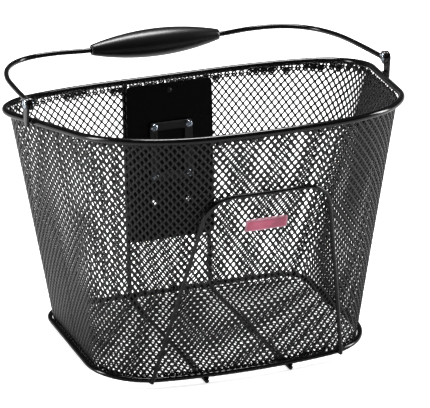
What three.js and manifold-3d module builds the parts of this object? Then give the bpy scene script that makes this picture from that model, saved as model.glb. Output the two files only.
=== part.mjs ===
// Handlebar basket: a D-shaped expanded-metal basket with a swinging bail,
// a rear quick-release plate and a wire arch on its front wall.
// Millimetres. +X to the right seen from the front, -Y to the front, +Z up.
// The basket is drawn with the centre line of the bottom ring at z = 0 and the
// back of the rim at y = 0, then moved so that the origin is under its middle.
import * as THREE from 'three';
import { mergeVertices } from 'three/addons/utils/BufferGeometryUtils.js';
import Module from 'manifold-3d';

// ---- driving dimensions ----------------------------------------------------
const GAP = 0.3;                 // clearance between pieces that touch
const MESH_THICK = 0.8;          // expanded metal, taken as a plain sheet

// Outlines of the rods, seen from above: a straight back, then on each side a
// slow shoulder, a back corner, a straight side, a front corner and one shallow
// front arc. Turns are in degrees.
const RIM_OUTLINE = {
  backY: 0, backHalf: 58, shoulder: 87, shoulderTurn: 16, backRadius: 59, backTurn: 85.5,
  side: 117, frontRadius: 117, frontTurn: 71.5,
};
const RING_OUTLINE = {
  backY: -12, backHalf: 58, shoulder: 51, shoulderTurn: 1, backRadius: 29, backTurn: 88,
  side: 109, frontRadius: 63, frontTurn: 82,
};
const RIM_BACK_HEIGHT = 222.5;   // rim above the ring at the back
const RIM_SLOPE = 0.152;         // rise of the rim towards the front, per mm
const RIM_ROD = 3.2;             // radii of the rods and wires
const RING_ROD = 2.5;
const SKID_ROD = 2.25;
const RING_CLEAR = 1;            // room between the ring and the leaning mesh
const LOOP_WIRE = 2;
const BAIL_WIRE = 2.5;

const FLOOR_Z = -2;              // middle of the floor sheet
const SKID_X = 43;               // half distance between the two back rods
const SKID_WRAP = 5.4;           // bend radius of those rods round the ring
const SKID_TOP = 221;

const PLATE = { half: 45, low: 57.5, high: 219, thick: 1.5, corner: 5 };
const SCREW = { x: 18.3, upper: 175.5, lower: 124, shank: 2.5, head: 3.75, rise: 2.6 };
const RECESS = { long: 4.6, wide: 1.1, deep: 1.4 };
const SPARE_HOLE = { x: 18, z: 96.5, radius: 2.8 };
const FRAME = { bar: 8, thick: 3, corner: 3 };
const PLATE_RIVET = { z: 211, shank: 1.6, head: 2.4, rise: 1 };
const ADAPTER = { half: 32, low: 102, high: 198, thick: 8, corner: 6 };
const RAIL = { wide: 6, deep: 7, lip: 4, lipThick: 2.5, low: 114, high: 190 };
const STOP_BAR = { half: 22, low: 105, high: 111, deep: 5 };
const LATCH_BAR = { half: 9, low: 183, high: 188, deep: 3 };
const NUT = { across: 8, high: 4 };

const LOOP = { footHalf: 97, topHalf: 59, top: 200.5, bend: 27, footZ: -1, footOut: 5.4, topOut: -0.4 };
const BADGE = { half: 21, low: -6.5, high: 6.5, z: 166, thick: 2.4, corner: 2.5 };
const STUD = { x: 12, radius: 1.2, reach: 3.4 };
const CLIP = { half: 17, low: -3.5, high: 3.5, rear: 1, thick: 1.2, corner: 2 };

const PIVOT = { y: -117, above: 17.8 };   // pivot above the rim's centre line
const TAB = { half: 6, foot: 4.5, thick: 2.8, below: 5 };
const RIVET = { shank: 2.5, head: 4.3, rise: 1.1, bore: 1.1 };
const EYE = { radius: 6.3, thick: 3, bore: 2.9, wireStart: 5.2 };
const BAIL_LEAN = 93.9;           // degrees back from upright, as it is stored
// Half of the bail's bent line: distance from the middle and from the pivots.
const BAIL_SHOULDER = [[177.6, 47], [172.2, 94], [161.5, 124], [146, 143], [125, 153], [100, 154.6], [84, 152]];
const BAIL_STRAIGHT = { half: 74, reach: 150 };
const GRIP = { half: 67, middle: 14, end: 5.2, bore: 2.8 };

// ---- colours ----------------------------------------------------------------
const BLACK_COAT = { color: 0x0b0b0c, roughness: 0.28, metalness: 0.35 };
const DARK_STEEL = { color: 0x1b1c1e, roughness: 0.35, metalness: 0.6 };
const ZINC = { color: 0xb9c2cb, roughness: 0.3, metalness: 1 };
const BLACK_PLASTIC = { color: 0x101012, roughness: 0.45, metalness: 0 };
const ROSE = { color: 0xd9637f, roughness: 0.35, metalness: 0 };

// ---- joining and cutting ------------------------------------------------------
const wasm = await Module();
wasm.setup();

function toSolid(geometry) {
  const plain = geometry.clone();
  plain.deleteAttribute('normal');
  plain.deleteAttribute('uv');
  const merged = mergeVertices(plain, 1e-5);
  const corners = merged.index.array;
  const faces = [];
  for (let i = 0; i < corners.length; i += 3) {
    const [a, b, c] = corners.slice(i, i + 3);
    if (a !== b && b !== c && c !== a) faces.push(a, b, c);
  }
  return new wasm.Manifold(new wasm.Mesh({
    numProp: 3,
    vertProperties: new Float32Array(merged.attributes.position.array),
    triVerts: new Uint32Array(faces),
  }));
}

function toGeometry(solid) {
  const mesh = solid.getMesh();
  const geometry = new THREE.BufferGeometry();
  const points = new Float32Array(mesh.vertProperties);
  geometry.setAttribute('position', new THREE.BufferAttribute(points, 3));
  geometry.setIndex(new THREE.BufferAttribute(new Uint32Array(mesh.triVerts), 1));
  geometry.computeVertexNormals();
  return geometry;
}

function cut(body, tools) {
  return toGeometry(tools.reduce((rest, tool) => rest.subtract(toSolid(tool)), toSolid(body)));
}

function join(first, ...others) {
  return toGeometry(others.reduce((sum, piece) => sum.add(toSolid(piece)), toSolid(first)));
}

// ---- outlines -----------------------------------------------------------------
const radians = THREE.MathUtils.degToRad;

// Points of a rod outline, moved inwards by inset. The right half runs from the
// back to the front and the left half mirrors it, so the points of any two
// outlines match one to one.
function outline(spec, inset = 0) {
  const half = [[0, spec.backY - inset], [spec.backHalf / 2, spec.backY - inset]];
  let x = spec.backHalf;
  let y = spec.backY - inset;
  let heading = 0;
  half.push([x, y]);
  const arc = (radius, turn, count) => {
    const centreX = x - radius * Math.sin(heading);
    const centreY = y - radius * Math.cos(heading);
    for (let i = 1; i <= count; i++) {
      const angle = heading + (turn * i) / count;
      half.push([centreX + radius * Math.sin(angle), centreY + radius * Math.cos(angle)]);
    }
    heading += turn;
    [x, y] = half.at(-1);
  };
  const shoulderTurn = radians(spec.shoulderTurn);
  arc(spec.shoulder / shoulderTurn - inset, shoulderTurn, 3);
  arc(spec.backRadius - inset, radians(spec.backTurn), 8);
  const [sideX, sideY] = [spec.side * Math.cos(heading), -spec.side * Math.sin(heading)];
  half.push([x + sideX / 2, y + sideY / 2], [x + sideX, y + sideY]);
  [x, y] = half.at(-1);
  arc(spec.frontRadius - inset, radians(spec.frontTurn), 12);
  arc(x / Math.sin(Math.PI - heading), Math.PI - heading, 3);
  half.at(-1)[0] = 0;
  const mirrored = half.slice(1, -1).reverse().map(([px, py]) => [-px, py]);
  return [...half, ...mirrored];
}

const rimZ = (y) => RIM_BACK_HEIGHT - RIM_SLOPE * y;
const rimLine = outline(RIM_OUTLINE).map(([x, y]) => new THREE.Vector3(x, y, rimZ(y)));
const ringLine = outline(RING_OUTLINE).map(([x, y]) => new THREE.Vector3(x, y, 0));
const ringFront = Math.min(...ringLine.map((p) => p.y));

// Where the front is at height z, a distance x from the middle, on the sheet of
// straight lines from the ring to the rim.
function frontY(x, z) {
  const section = ringLine.map((low, i) => low.clone().lerp(rimLine[i], z / rimLine[i].z));
  const front = section.filter((p) => p.x >= 0 && p.y < ringFront / 2);
  const next = Math.max(front.findIndex((p) => p.x <= Math.abs(x)), 1);
  const [a, b] = [front[next - 1], front[next]];
  return THREE.MathUtils.mapLinear(Math.abs(x), a.x, b.x, a.y, b.y);
}

// How far the rim's centre line is from the middle at depth y.
function rimHalfWidth(y) {
  const next = rimLine.findIndex((p) => p.y <= y);
  const [a, b] = [rimLine[next - 1], rimLine[next]];
  return THREE.MathUtils.mapLinear(y, a.y, b.y, a.x, b.x);
}

// ---- shapes ---------------------------------------------------------------------
function roundedRect(half, low, high, radius) {
  const shape = new THREE.Shape();
  shape.moveTo(-half + radius, low);
  shape.absarc(half - radius, low + radius, radius, -Math.PI / 2, 0);
  shape.absarc(half - radius, high - radius, radius, 0, Math.PI / 2);
  shape.absarc(-half + radius, high - radius, radius, Math.PI / 2, Math.PI);
  shape.absarc(-half + radius, low + radius, radius, Math.PI, 1.5 * Math.PI);
  return shape;
}

// Pieces on a wall are placed by their depth: how far they are in front of the
// middle of the wall's sheet. Depth runs along -y.
function slab(shape, rear, fore) {
  const settings = { depth: fore - rear, bevelEnabled: false, curveSegments: 5 };
  return new THREE.ExtrudeGeometry(shape, settings).rotateX(Math.PI / 2).translate(0, -rear, 0);
}

function block(halfWide, low, high, rear, fore, middleX = 0) {
  const geometry = new THREE.BoxGeometry(2 * halfWide, fore - rear, high - low);
  return geometry.translate(middleX, -(rear + fore) / 2, (low + high) / 2);
}

function pin(radius, rear, fore, x, z, sides = 20) {
  const geometry = new THREE.CylinderGeometry(radius, radius, fore - rear, sides);
  return geometry.translate(x, -(rear + fore) / 2, z);
}

// A turned piece along the depth: its profile is [radius, depth] from the rear.
function turned(profile, x, z, sides = 20) {
  const points = profile.map(([radius, depth]) => new THREE.Vector2(radius, depth));
  return new THREE.LatheGeometry(points, sides).rotateX(Math.PI).translate(x, 0, z);
}

// A bent line through points, with one step of the rod at each point.
class BentLine extends THREE.CatmullRomCurve3 {
  getUtoTmapping(u) {
    return u;
  }
}

function rodRing(points, radius, sides) {
  const path = new BentLine(points, true, 'centripetal');
  return new THREE.TubeGeometry(path, points.length, radius, sides, true);
}

function rodAlong(points, radius, sides) {
  const section = new THREE.Shape();
  section.absarc(0, 0, radius, 0, 2 * Math.PI);
  const extrudePath = new BentLine(points, false, 'centripetal');
  return new THREE.ExtrudeGeometry(section, { steps: points.length - 1, extrudePath, curveSegments: sides });
}

// A closed shell through rings of matching points, the last joined to the first.
function loft(rings) {
  const count = rings[0].length;
  const geometry = new THREE.BufferGeometry().setFromPoints(rings.flat());
  const faces = [];
  rings.forEach((_, r) => {
    const above = ((r + 1) % rings.length) * count;
    for (let i = 0; i < count; i++) {
      const j = (i + 1) % count;
      faces.push(r * count + i, above + i, above + j, r * count + i, above + j, r * count + j);
    }
  });
  geometry.setIndex(faces);
  geometry.computeVertexNormals();
  return geometry;
}

// ---- the assembly ---------------------------------------------------------------
const basket = new THREE.Group();

function add(name, geometry, finish, parent = basket) {
  const mesh = new THREE.Mesh(geometry, new THREE.MeshStandardMaterial(finish));
  mesh.name = name;
  parent.add(mesh);
}

// A group that lies in a wall: x across, z up the sheet, and y = 0 at the
// middle of the sheet.
function wallFrame(lowY, highY, highZ, middleZ) {
  const group = new THREE.Group();
  const slope = (highY - lowY) / (highZ - meshLow);
  group.position.set(0, lowY + slope * (middleZ - meshLow), middleZ);
  group.rotation.x = -Math.atan(slope);
  basket.add(group);
  group.updateMatrixWorld();
  return group;
}

const meshLow = FLOOR_Z - MESH_THICK / 2;
const rimInset = RIM_ROD + GAP + MESH_THICK / 2;
const ringInset = RING_ROD + RING_CLEAR + MESH_THICK / 2;
const rimFront = rimLine.find((p) => p.x === 0 && p.y < 0);
const backWall = wallFrame(RING_OUTLINE.backY - ringInset, RIM_OUTLINE.backY - rimInset, RIM_BACK_HEIGHT, 0);
const frontWall = wallFrame(ringFront + ringInset, rimFront.y + rimInset, rimFront.z, BADGE.z);

// Depths of the stack on the back wall, from the plate to the screw heads on
// the inside and down to the adapter's rear face on the outside.
const plateRear = MESH_THICK / 2 + GAP;
const plateFore = plateRear + PLATE.thick;
const frameRear = plateFore + GAP;
const frameFore = frameRear + FRAME.thick;
const headRear = frameFore + GAP;
const adapterFore = -MESH_THICK / 2 - GAP;
const adapterRear = adapterFore - ADAPTER.thick;
const nutRear = adapterRear + GAP;
const screwPlaces = [
  ['upper_left', -SCREW.x, SCREW.upper], ['upper_right', SCREW.x, SCREW.upper],
  ['lower_left', -SCREW.x, SCREW.lower], ['lower_right', SCREW.x, SCREW.lower],
];

function screwHoles(rear, fore) {
  return screwPlaces.map(([, x, z]) => pin(SCREW.shank + GAP, rear - 1, fore + 1, x, z));
}

function badgeStuds(radius, rear, fore) {
  return [-STUD.x, STUD.x].map((x) => pin(radius, rear, fore, x, 0, 10));
}

function addMeshPanels() {
  const ringAt = (spec, inset, heightAt) =>
    outline(spec, inset).map(([x, y]) => new THREE.Vector3(x, y, heightAt(y)));
  const [outer, inner] = [-MESH_THICK / 2, MESH_THICK / 2];
  const shell = loft([
    ringAt(RING_OUTLINE, ringInset + outer, () => meshLow), ringAt(RIM_OUTLINE, rimInset + outer, rimZ),
    ringAt(RIM_OUTLINE, rimInset + inner, rimZ), ringAt(RING_OUTLINE, ringInset + inner, () => meshLow),
  ]);
  const rivetHole = pin(PLATE_RIVET.shank + GAP, -MESH_THICK, MESH_THICK, 0, PLATE_RIVET.z, 10);
  const backHoles = [...screwHoles(-MESH_THICK, MESH_THICK), rivetHole];
  const studHoles = badgeStuds(STUD.radius + GAP, -2 * MESH_THICK, 2 * MESH_THICK);
  backHoles.forEach((hole) => hole.applyMatrix4(backWall.matrixWorld));
  studHoles.forEach((hole) => hole.applyMatrix4(frontWall.matrixWorld));
  add('wall_mesh', cut(shell, [...backHoles, ...studHoles]), BLACK_COAT);

  const edge = outline(RING_OUTLINE, ringInset + inner + GAP).map(([x, y]) => new THREE.Vector2(x, y));
  const panel = new THREE.ExtrudeGeometry(new THREE.Shape(edge), { depth: MESH_THICK, bevelEnabled: false });
  add('floor_mesh', panel.translate(0, 0, meshLow), BLACK_COAT);
}

// Each back rod runs down outside the back wall, round the ring and forward
// under the floor, where the pair carries the standing basket.
function addSkidRods() {
  const ringY = RING_OUTLINE.backY;
  for (const [side, x] of [['left', -SKID_X], ['right', SKID_X]]) {
    const line = [new THREE.Vector3(x, RIM_OUTLINE.backY + RIM_ROD + GAP + SKID_ROD, SKID_TOP)];
    for (let turn = 0; turn <= 90; turn += 15) {
      const angle = radians(turn);
      line.push(new THREE.Vector3(x, ringY + SKID_WRAP * Math.cos(angle), -SKID_WRAP * Math.sin(angle)));
    }
    line.push(new THREE.Vector3(x, frontY(x, 0) - RING_ROD, -SKID_WRAP));
    add(`back_rod_${side}`, rodAlong(line, SKID_ROD, 12), BLACK_COAT);
  }
}

// The wire arch on the front wall, drawn as one half and mirrored.
function addFrontLoop() {
  const corner = new THREE.Vector2(LOOP.topHalf, LOOP.top);
  const foot = new THREE.Vector2(LOOP.footHalf, LOOP.footZ);
  const bendLow = corner.clone().add(foot.clone().sub(corner).setLength(LOOP.bend));
  const bendHigh = new THREE.Vector2(LOOP.topHalf - LOOP.bend, LOOP.top);
  const leg = new THREE.LineCurve(foot, bendLow).getPoints(7);
  const bend = new THREE.QuadraticBezierCurve(bendLow, corner, bendHigh).getPoints(7).slice(1);
  const half = [...leg, ...bend, new THREE.Vector2(0, LOOP.top)];
  const mirrored = half.slice(0, -1).reverse().map((p) => new THREE.Vector2(-p.x, p.y));
  const line = [...half, ...mirrored].map(({ x, y: z }) => {
    const out = THREE.MathUtils.mapLinear(z, 0, LOOP.top, LOOP.footOut, LOOP.topOut);
    return new THREE.Vector3(x, frontY(x, z) - out, z);
  });
  add('front_wire_loop', rodAlong(line, LOOP_WIRE, 10), BLACK_COAT);
}

function addBackStack() {
  const plate = slab(roundedRect(PLATE.half, PLATE.low, PLATE.high, PLATE.corner), plateRear, plateFore);
  const spareHoles = [-SPARE_HOLE.x, SPARE_HOLE.x].map((x) =>
    pin(SPARE_HOLE.radius, plateRear - 1, plateFore + 1, x, SPARE_HOLE.z));
  const rivetHole = pin(PLATE_RIVET.shank + GAP, plateRear - 1, plateFore + 1, 0, PLATE_RIVET.z, 10);
  add('back_plate', cut(plate, [...screwHoles(plateRear, plateFore), ...spareHoles, rivetHole]), BLACK_COAT, backWall);

  const { shank, head, rise } = PLATE_RIVET;
  const rivetRear = -MESH_THICK / 2 - GAP;
  const rivetFore = plateFore + GAP;
  add('plate_rivet', turned([
    [0, rivetRear - rise], [head, rivetRear - rise], [head, rivetRear], [shank, rivetRear],
    [shank, rivetFore], [head, rivetFore], [0.7 * head, rivetFore + 0.8 * rise], [0, rivetFore + rise],
  ], 0, PLATE_RIVET.z, 14), DARK_STEEL, backWall);

  const [low, high, bar] = [SCREW.lower, SCREW.upper, FRAME.bar / 2];
  const frame = roundedRect(SCREW.x + bar, low - bar, high + bar, FRAME.corner);
  frame.holes.push(roundedRect(SCREW.x - bar, low + bar, high - bar, FRAME.corner / 2));
  const frameHoles = screwHoles(frameRear, frameFore);
  add('counter_frame', cut(slab(frame, frameRear, frameFore), frameHoles), DARK_STEEL, backWall);
}

function addScrewsAndNuts() {
  const { shank, head, rise } = SCREW;
  const crown = headRear + rise;
  for (const [place, x, z] of screwPlaces) {
    const body = turned([
      [0, nutRear], [shank, nutRear], [shank, headRear], [head, headRear], [head, headRear + 0.4 * rise],
      [0.88 * head, headRear + 0.74 * rise], [0.55 * head, headRear + 0.94 * rise], [0, crown],
    ], x, z);
    const slots = [[RECESS.long, RECESS.wide], [RECESS.wide, RECESS.long]].map(([wide, tall]) =>
      block(wide / 2, z - tall / 2, z + tall / 2, crown - RECESS.deep, crown + 1, x));
    add(`screw_${place}`, cut(body, slots), ZINC, backWall);
    const nut = pin(NUT.across / Math.sqrt(3), nutRear, nutRear + NUT.high, x, z, 6);
    const bore = pin(shank + GAP, nutRear - 1, nutRear + NUT.high + 1, x, z);
    add(`nut_${place}`, cut(nut, [bore]), ZINC, backWall);
  }
}

// The basket's half of the quick release: a plate with two hooked rails, a stop
// bar at the bottom and a latch bar at the top.
function addAdapter() {
  const base = slab(roundedRect(ADAPTER.half, ADAPTER.low, ADAPTER.high, ADAPTER.corner), adapterRear, adapterFore);
  const railRear = adapterRear - RAIL.deep;
  const railX = ADAPTER.half - RAIL.wide / 2;
  const rails = [-1, 1].flatMap((side) => [
    block(RAIL.wide / 2, RAIL.low, RAIL.high, railRear, adapterRear + 1, side * railX),
    block((RAIL.wide + RAIL.lip) / 2, RAIL.low, RAIL.high, railRear, railRear + RAIL.lipThick,
      side * (railX - RAIL.lip / 2)),
  ]);
  const bars = [STOP_BAR, LATCH_BAR].map(({ half, low, high, deep }) =>
    block(half, low, high, adapterRear - deep, adapterRear + 1));
  const pockets = screwPlaces.map(([, x, z]) =>
    pin(NUT.across / Math.sqrt(3) + GAP, adapterRear - 1, nutRear + NUT.high + GAP, x, z, 6));
  const holes = screwHoles(adapterRear, adapterFore);
  add('adapter_plate', cut(join(base, ...rails, ...bars), [...holes, ...pockets]), BLACK_PLASTIC, backWall);
}

function addBadge() {
  const rear = MESH_THICK / 2 + GAP;
  const face = slab(roundedRect(BADGE.half, BADGE.low, BADGE.high, BADGE.corner), rear, rear + BADGE.thick);
  add('badge', join(face, ...badgeStuds(STUD.radius, -STUD.reach, rear + 1)), ROSE, frontWall);
  const clip = slab(roundedRect(CLIP.half, CLIP.low, CLIP.high, CLIP.corner), -CLIP.rear - CLIP.thick, -CLIP.rear);
  add('badge_clip', cut(clip, badgeStuds(STUD.radius + GAP, -2 * STUD.reach, 0)), DARK_STEEL, frontWall);
}

// ---- the bail and its pivots ---------------------------------------------------
const rimWidest = Math.max(rimHalfWidth(PIVOT.y - TAB.half), rimHalfWidth(PIVOT.y + TAB.half));
const tabX = rimWidest + RIM_ROD + GAP;
const eyeX = tabX - GAP - EYE.thick / 2;
const pivotZ = rimZ(PIVOT.y) + PIVOT.above;

function crossBar(radius, fromX, toX, sides) {
  const geometry = new THREE.CylinderGeometry(radius, radius, toX - fromX, sides);
  return geometry.rotateZ(-Math.PI / 2).translate((fromX + toX) / 2, 0, 0);
}

function addBracket(side, sign) {
  const shape = new THREE.Shape();
  shape.absarc(0, 0, TAB.half, 0, Math.PI);
  shape.absarc(0, TAB.foot - PIVOT.above - TAB.below, TAB.foot, Math.PI, 2 * Math.PI);
  const hole = new THREE.Path();
  hole.absarc(0, 0, EYE.bore, 0, 2 * Math.PI);
  shape.holes.push(hole);
  const tab = new THREE.ExtrudeGeometry(shape, { depth: TAB.thick, bevelEnabled: false, curveSegments: 16 });
  const upright = new THREE.Matrix4().makeBasis(
    new THREE.Vector3(0, 1, 0), new THREE.Vector3(0, 0, 1), new THREE.Vector3(1, 0, 0));
  tab.applyMatrix4(upright);
  tab.translate(sign > 0 ? tabX : -tabX - TAB.thick, PIVOT.y, pivotZ);
  add(`handle_bracket_${side}`, tab, BLACK_COAT);
}

function addPivotRivet(side, sign) {
  const innerFace = eyeX - EYE.thick / 2 - GAP;
  const outerFace = tabX + TAB.thick + GAP;
  const { shank, head, rise, bore } = RIVET;
  const profile = [
    [bore, innerFace - rise], [0.8 * head, innerFace - rise], [head, innerFace - rise / 2], [head, innerFace],
    [shank, innerFace], [shank, outerFace], [head, outerFace], [head, outerFace + rise / 2],
    [0.8 * head, outerFace + rise], [bore, outerFace + rise], [bore, innerFace - rise],
  ];
  const rivet = new THREE.LatheGeometry(profile.map(([r, x]) => new THREE.Vector2(r, x)), 20);
  rivet.rotateZ(-sign * Math.PI / 2).translate(0, PIVOT.y, pivotZ);
  add(`pivot_rivet_${side}`, rivet, ZINC);
}

function addBail() {
  const bail = new THREE.Group();
  bail.position.set(0, PIVOT.y, pivotZ);
  bail.rotation.x = -radians(BAIL_LEAN);
  basket.add(bail);

  const wireX = tabX - GAP - BAIL_WIRE;
  const marks = [[wireX, EYE.wireStart], ...BAIL_SHOULDER, [BAIL_STRAIGHT.half, BAIL_STRAIGHT.reach]];
  const corners = marks.map(([x, reach]) => new THREE.Vector3(x, 0, reach));
  const shoulder = new THREE.CatmullRomCurve3(corners, false, 'centripetal').getPoints(24);
  const half = [...shoulder, new THREE.Vector3(GRIP.half, 0, BAIL_STRAIGHT.reach)];
  const mirrored = half.map((p) => new THREE.Vector3(-p.x, p.y, p.z)).reverse();
  const wire = rodAlong([...half, ...mirrored], BAIL_WIRE, 12);
  const eyes = [-eyeX, eyeX].map((x) => crossBar(EYE.radius, x - EYE.thick / 2, x + EYE.thick / 2, 28));
  const bores = [-eyeX, eyeX].map((x) => crossBar(EYE.bore, x - EYE.thick, x + EYE.thick, 28));
  add('handle_bail', cut(join(wire, ...eyes), bores), BLACK_COAT, bail);

  const radiusAt = (x) => THREE.MathUtils.lerp(GRIP.middle, GRIP.end, (x / GRIP.half) ** 2);
  const steps = [...Array(17).keys()].map((i) => GRIP.half * (i / 8 - 1));
  const outside = steps.map((x) => new THREE.Vector2(radiusAt(x), x));
  const inside = [new THREE.Vector2(GRIP.bore, GRIP.half), new THREE.Vector2(GRIP.bore, -GRIP.half)];
  const grip = new THREE.LatheGeometry([...outside, ...inside, outside[0]], 24);
  add('handle_grip', grip.rotateZ(-Math.PI / 2).translate(0, 0, BAIL_STRAIGHT.reach), BLACK_PLASTIC, bail);
}

add('top_rim', rodRing(rimLine, RIM_ROD, 12), BLACK_COAT);
add('bottom_ring', rodRing(ringLine, RING_ROD, 10), BLACK_COAT);
addMeshPanels();
addSkidRods();
addFrontLoop();
addBackStack();
addScrewsAndNuts();
addAdapter();
addBadge();
for (const [side, sign] of [['left', -1], ['right', 1]]) {
  addBracket(side, sign);
  addPivotRivet(side, sign);
}
addBail();

// The origin is under the middle of the whole object, on the surface it stands on.
const extent = new THREE.Box3().setFromObject(basket, true);
const middle = extent.getCenter(new THREE.Vector3());
basket.position.set(-middle.x, -middle.y, -extent.min.z);

export default basket;
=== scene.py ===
"""Looks for the handlebar basket: expanded-metal mesh, welded rods and a bail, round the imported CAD."""
import math
import random

import bmesh
import bpy
import numpy as np
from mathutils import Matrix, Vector


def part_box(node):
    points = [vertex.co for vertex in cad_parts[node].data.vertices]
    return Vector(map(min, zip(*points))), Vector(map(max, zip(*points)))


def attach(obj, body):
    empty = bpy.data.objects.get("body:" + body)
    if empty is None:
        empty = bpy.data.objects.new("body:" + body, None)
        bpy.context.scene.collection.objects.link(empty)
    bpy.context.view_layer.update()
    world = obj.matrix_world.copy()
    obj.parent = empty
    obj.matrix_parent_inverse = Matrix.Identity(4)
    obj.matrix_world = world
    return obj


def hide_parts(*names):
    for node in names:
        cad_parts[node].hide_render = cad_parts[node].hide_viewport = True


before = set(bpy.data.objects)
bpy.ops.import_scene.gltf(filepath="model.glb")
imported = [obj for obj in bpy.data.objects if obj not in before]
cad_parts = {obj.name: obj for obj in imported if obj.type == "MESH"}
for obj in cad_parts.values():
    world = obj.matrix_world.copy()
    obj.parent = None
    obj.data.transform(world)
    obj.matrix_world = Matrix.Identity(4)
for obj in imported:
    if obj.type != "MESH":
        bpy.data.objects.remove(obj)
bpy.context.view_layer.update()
random.seed(7)
MM = 0.001

# ---- where the CAD's own zero is: middle of the ring's rod, rim's back line ----
RING_ROD, RIM_ROD, SKID_ROD, LOOP_WIRE, BAIL_WIRE = 2.5, 3.2, 2.25, 2.0, 2.5
RING_BACK_Y = -12.0
ring_low, ring_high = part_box("bottom_ring")
rim_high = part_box("top_rim")[1]
ZERO = np.array([0.0, rim_high.y / MM - RIM_ROD, (ring_low.z + ring_high.z) / 2 / MM])

RIM_BACK_Z, RIM_SLOPE = 222.5, 0.152
RIM = dict(back_y=0, back_half=58, shoulder=87, shoulder_turn=16, back_radius=59, back_turn=85.5,
           side=117, front_radius=117, front_turn=71.5)
RING = dict(back_y=RING_BACK_Y, back_half=58, shoulder=51, shoulder_turn=1, back_radius=29, back_turn=88,
            side=109, front_radius=63, front_turn=82)
MESH_LOW = -2.4
RIM_INSET, RING_INSET = 3.9, 3.9
SKID_X, SKID_WRAP, SKID_TOP = 43.0, 5.4, 221.0


def to_frame(points):
    """Millimetres about the CAD's zero to metres in the row frame."""
    return (np.asarray(points, float) + ZERO) * MM


# ---- outlines ---------------------------------------------------------------
def outline(spec, inset=0.0, fine=24):
    """Points of half an outline, back middle to front middle, and the section number of each."""
    x, y = spec["back_half"], spec["back_y"] - inset
    line = [(x * i / fine, y, i / fine) for i in range(fine + 1)]
    heading = 0.0

    def arc(radius, turn, section):
        nonlocal x, y, heading
        cx, cy = x - radius * math.sin(heading), y - radius * math.cos(heading)
        for i in range(1, fine + 1):
            a = heading + turn * i / fine
            line.append((cx + radius * math.sin(a), cy + radius * math.cos(a), section + i / fine))
        heading += turn
        x, y = line[-1][:2]

    shoulder_turn = math.radians(spec["shoulder_turn"])
    arc(spec["shoulder"] / shoulder_turn - inset, shoulder_turn, 1)
    arc(spec["back_radius"] - inset, math.radians(spec["back_turn"]), 2)
    sx, sy = spec["side"] * math.cos(heading), -spec["side"] * math.sin(heading)
    line.extend((x + sx * i / fine, y + sy * i / fine, 3 + i / fine) for i in range(1, fine + 1))
    x, y = line[-1][:2]
    arc(spec["front_radius"] - inset, math.radians(spec["front_turn"]), 4)
    arc(x / math.sin(math.pi - heading), math.pi - heading, 5)
    return np.array(line)


def whole(spec, inset=0.0):
    """The closed outline with its first point repeated, at the back middle, going right."""
    half = outline(spec, inset)[:, :2]
    half[-1, 0] = 0.0
    left = half[::-1][1:] * [-1, 1]
    return np.vstack([half, left])


def rim_z(y):
    return RIM_BACK_Z - RIM_SLOPE * y


def resample(points, count, closed=False):
    """count points at even distances along a line."""
    p = np.asarray(points, float)
    if closed and np.linalg.norm(p[0] - p[-1]) > 1e-6:
        p = np.vstack([p, p[:1]])
    s = np.r_[0, np.cumsum(np.linalg.norm(np.diff(p, axis=0), axis=1))]
    t = np.linspace(0, s[-1], count + 1)[:-1] if closed else np.linspace(0, s[-1], count)
    return np.column_stack([np.interp(t, s, p[:, k]) for k in range(p.shape[1])])


# ---- the wall's surface ------------------------------------------------------
LEVELS, AROUND = 49, 1440


def wall_grid():
    """The wall's middle as a grid: level by level, evenly spaced round each level."""
    low = whole(RING, RING_INSET)
    high = whole(RIM, RIM_INSET)
    low = np.column_stack([low, np.full(len(low), MESH_LOW)])
    high = np.column_stack([high, rim_z(high[:, 1])])
    rows = []
    for v in np.linspace(0, 1, LEVELS):
        rows.append(resample(low + (high - low) * v, AROUND, closed=True))
    return np.array(rows)


GRID = wall_grid()
_du = np.roll(GRID, -1, 1) - np.roll(GRID, 1, 1)
_dv = np.gradient(GRID, axis=0)
INWARD = np.cross(_dv, _du)
INWARD /= np.linalg.norm(INWARD, axis=2, keepdims=True)
if np.sum(INWARD[:, 0] * [0, -1, 0]) < 0:
    INWARD = -INWARD
HEIGHTS = np.linalg.norm(GRID[-1] - GRID[0], axis=1)


def sample(grid, u, v):
    """Bilinear look-up: u round the wall from 0 to 1, v from 0 at the bottom to 1."""
    x = (u % 1.0) * AROUND
    y = np.clip(v, 0, 1) * (LEVELS - 1)
    i, j = np.floor(x).astype(int) % AROUND, np.minimum(np.floor(y).astype(int), LEVELS - 2)
    fx, fy = (x - np.floor(x))[:, None], (y - j)[:, None]
    k = (i + 1) % AROUND
    a = grid[j, i] * (1 - fx) + grid[j, k] * fx
    b = grid[j + 1, i] * (1 - fx) + grid[j + 1, k] * fx
    return a * (1 - fy) + b * fy


def wall_height(u):
    x = (u % 1.0) * AROUND
    i = np.floor(x).astype(int) % AROUND
    f = x - np.floor(x)
    return HEIGHTS[i] * (1 - f) + HEIGHTS[(i + 1) % AROUND] * f


def on_wall(u, h, inward=0.0):
    """Points a height h up the wall at u, moved inwards from the wall's middle."""
    u, h = np.broadcast_arrays(np.atleast_1d(np.asarray(u, float)), np.asarray(h, float))
    v = h / wall_height(u)
    return sample(GRID, u, v) + sample(INWARD, u, v) * np.reshape(inward, (-1, 1))


# ---- objects -----------------------------------------------------------------
def new_object(name, verts, faces, material, body="basket", smooth=True, angle=None):
    mesh = bpy.data.meshes.new(name)
    mesh.from_pydata([tuple(v) for v in verts], [], [tuple(int(i) for i in f) for f in faces])
    return finish_object(name, mesh, material, body, smooth, angle)


def finish_object(name, mesh, material, body, smooth=True, angle=None):
    mesh.validate()
    if smooth:
        mesh.shade_smooth()
        if angle:
            mesh.set_sharp_from_angle(angle=math.radians(angle))
    mesh.materials.clear()
    mesh.materials.append(material)
    obj = bpy.data.objects.new(name, mesh)
    bpy.context.scene.collection.objects.link(obj)
    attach(obj, body)
    return obj


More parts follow.
